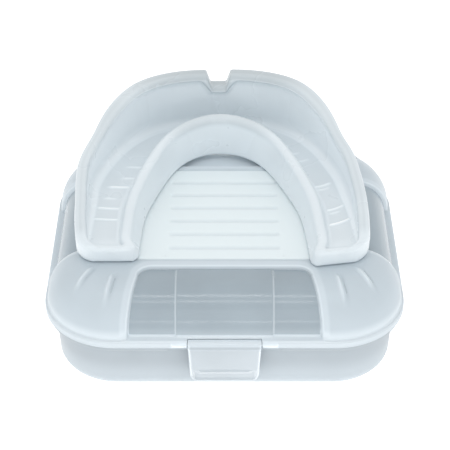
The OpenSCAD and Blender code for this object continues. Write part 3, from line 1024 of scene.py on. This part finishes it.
def build_ears():
    """The two blocks in the flange that hold the latch's pins."""
    bore = circle_loop(latch_axis, LATCH_PIN_R + BORE_GAP, ROUND)

    def outline(shrink):
        return circle_loop(latch_axis, LATCH_R - shrink, ROUND)

    pieces = []
    for side, tag in ((-1, "left"), (1, "right")):
        ends = sorted(side * (LATCH_HALF + LATCH_GAP + x) for x in (0, EAR_L))
        ear = loft_x(f"latch_ear_{tag}", outline, bore, ends, lid_mat, "lid", "lid_plastic")
        # painted highlight: the ears are painted fully in the highlight colour
        paint(ear, "edge", np.full(len(ear.data.vertices), 1.0))
        pieces.append(ear)
    return pieces


def latch_rows(z_low):
    """Heights of the tab's loops, close together over its rounded free end."""
    return z_low + np.concatenate([[0, 0.05, 0.15, 0.3, 0.5, 0.75, 1.05, 1.4, 1.8],
                                   np.linspace(2.0, latch_z + TAB_TOP - z_low, 60)])


def build_tab():
    """The tapered tab with rounded edges, a raised band along its free end and a finger ridge."""
    z_low = latch_low[2]
    thick = tab_back - latch_low[1] - 0.6
    across = np.sin(np.linspace(-1, 1, 91) * math.pi / 2)
    loops, highlight_paint = [], []
    for z in latch_rows(z_low):
        up = z - z_low
        half = LATCH_HALF - TAB_TAPER * (1 - min(1, up / (latch_z - z_low))) - heel_drop(up, TAB_CORNER)
        x = across * half
        rim_gap = np.minimum(half - np.abs(x), up)
        fall = np.array([heel_drop(d, thick / 2) for d in rim_gap])
        top_curve = (latch_y - LATCH_R - tab_back + thick) * smoothstep(-0.7, TAB_TOP + 0.1, z - latch_z)
        ridge = FINGER_RIDGE_H * np.exp(-((up - FINGER_RIDGE_AT) / FINGER_RIDGE_HALF) ** 2)
        ridge = ridge * smoothstep(6.4, 5.6, np.abs(x))
        band = BAND_DEPTH * smoothstep(0.5, 0.7, up) * (1 - smoothstep(BAND_H - 0.2, BAND_H, up))
        band = band * smoothstep(half - 0.8, half - 1.1, np.abs(x))
        front = tab_back - thick + fall + top_curve - ridge + band
        back = np.maximum(tab_back - fall, front + 0.15)
        level = np.full(len(x), z)
        front_row, back_row = (np.column_stack([x, y, level]) for y in (front, back))
        loops.append(np.concatenate([front_row, back_row[::-1]]))
        # painted highlights: along the tab's rounded rims, a line just below the pivot, and its top painted
        # paler against the shade of the gap
        line = np.exp(-((z - latch_z + 0.6) / 0.15) ** 2)
        shine = np.exp(-(rim_gap / 0.4) ** 2) + 0.5 * line + 0.8 * smoothstep(-0.4, 0.1, z - latch_z)
        shine = np.clip(shine, 0, 1)
        highlight_paint.append(np.concatenate([shine, shine[::-1]]))
    n = 2 * len(across)
    faces = ring_faces(len(loops), n) + end_caps(len(loops), n)
    tab = new_object("latch_tab_visual", np.concatenate(loops), faces, latch_mat, "latch", "latch_plastic")
    paint(tab, "edge", np.concatenate(highlight_paint))
    return tab


def build_latch():
    """The tab with its barrel, its two stub pins, and the catch bead, just below the tray's rim."""
    on_latch = (latch_mat, "latch", "latch_plastic")
    pieces = [build_tab()]
    drum = rounded_pin(-LATCH_HALF, LATCH_HALF, LATCH_R, 0.15)
    barrel = tube("latch_barrel", drum, latch_axis, *on_latch)
    # painted highlight: the barrel is painted paler against the shade in the gap above the tab
    paint(barrel, "edge", np.full(len(barrel.data.vertices), 0.7))
    pieces.append(barrel)
    for side, tag in ((-1, "left"), (1, "right")):
        ends = sorted(side * x for x in (LATCH_HALF - 0.5, LATCH_HALF + LATCH_PIN_L))
        pin = rounded_pin(*ends, LATCH_PIN_R, 0.15)
        pieces.append(tube(f"latch_pin_{tag}", pin, latch_axis, *on_latch))
    catch_axis = (tab_back - 0.25, joint_z - RIM_T - 0.6)
    catch = rounded_pin(2 - LATCH_HALF, LATCH_HALF - 2, CATCH_R, 0.3)
    pieces.append(tube("latch_catch_bead", catch, catch_axis, *on_latch))
    return pieces


hinge_pieces = build_hinges()
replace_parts(build_lid(), "lid_shell")
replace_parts(build_tray(), "base_tray")
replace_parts(build_guard(), "mouthguard")
for node, pieces in hinge_pieces.items():
    for piece in pieces:
        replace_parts(piece, node)
for piece in build_ears():
    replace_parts(piece, "lid_shell")
for piece in build_latch():
    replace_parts(piece, "latch_tab")


# ---------- stage, light, camera ----------

def build_stage():
    """A pale floor that glows as brightly as the studio round it."""
    mesh = bpy.data.meshes.new("floor")
    bm = bmesh.new()
    bmesh.ops.create_grid(bm, x_segments=2, y_segments=2, size=3.0)
    bm.to_mesh(mesh)
    bm.free()
    floor = bpy.data.objects.new("floor", mesh)
    bpy.context.scene.collection.objects.link(floor)
    m, _, _, shader = new_material("floor_white")
    shader.inputs["Base Color"].default_value = (0.3, 0.3, 0.3, 1)
    shader.inputs["Roughness"].default_value = 0.8
    shader.inputs["Emission Color"].default_value = (1, 1, 1, 1)
    shader.inputs["Emission Strength"].default_value = 0.98
    mesh.materials.append(m)


def area_light(name, energy, size, place, target):
    data = bpy.data.lights.new(name, "AREA")
    data.energy = energy
    data.shape = "RECTANGLE"
    data.size, data.size_y = size
    lamp = bpy.data.objects.new(name, data)
    lamp.location = place
    lamp.rotation_euler = (Vector(target) - Vector(place)).to_track_quat("-Z", "Y").to_euler()
    bpy.context.scene.collection.objects.link(lamp)


def build_light():
    """An even white studio, a softbox in front, and strips that draw lines in the front window."""
    world = bpy.data.worlds.new("studio")
    world.use_nodes = True
    world.node_tree.nodes["Background"].inputs["Color"].default_value = (1, 1, 1, 1)
    world.node_tree.nodes["Background"].inputs["Strength"].default_value = 0.98
    bpy.context.scene.world = world
    area_light("front_softbox", 0.7, (0.9, 0.55), (-0.15, -0.95, 0.55), (0, 0, 0.02))
    area_light("low_strip", 0.5, (0.7, 0.03), (0.1, -0.9, 0.12), (0, 0, 0.02))
    window = (0, -0.03, 0.024)
    for name, elevation, energy, width in (("strip_low", 67, 0.3, 0.05), ("strip_high", 85, 0.4, 0.06)):
        a = math.radians(elevation)
        place = (0, window[1] - 0.8 * math.cos(a), window[2] + 0.8 * math.sin(a))
        area_light(name, energy, (0.5, width), place, window)


CAMERA_PITCH = 35.0
CAMERA_FOCAL = 124.0
CAMERA_PLACE = (0.0001, -0.3129, 0.2423)


def build_camera():
    data = bpy.data.cameras.new("camera")
    data.sensor_width = 36.0
    data.lens = CAMERA_FOCAL
    data.clip_start = 0.01
    camera = bpy.data.objects.new("camera", data)
    camera.location = CAMERA_PLACE
    camera.rotation_euler = (math.radians(90 - CAMERA_PITCH), 0, 0)
    bpy.context.scene.collection.objects.link(camera)
    bpy.context.scene.camera = camera


build_stage()
build_light()
build_camera()
bpy.context.scene.view_settings.view_transform = "Standard"
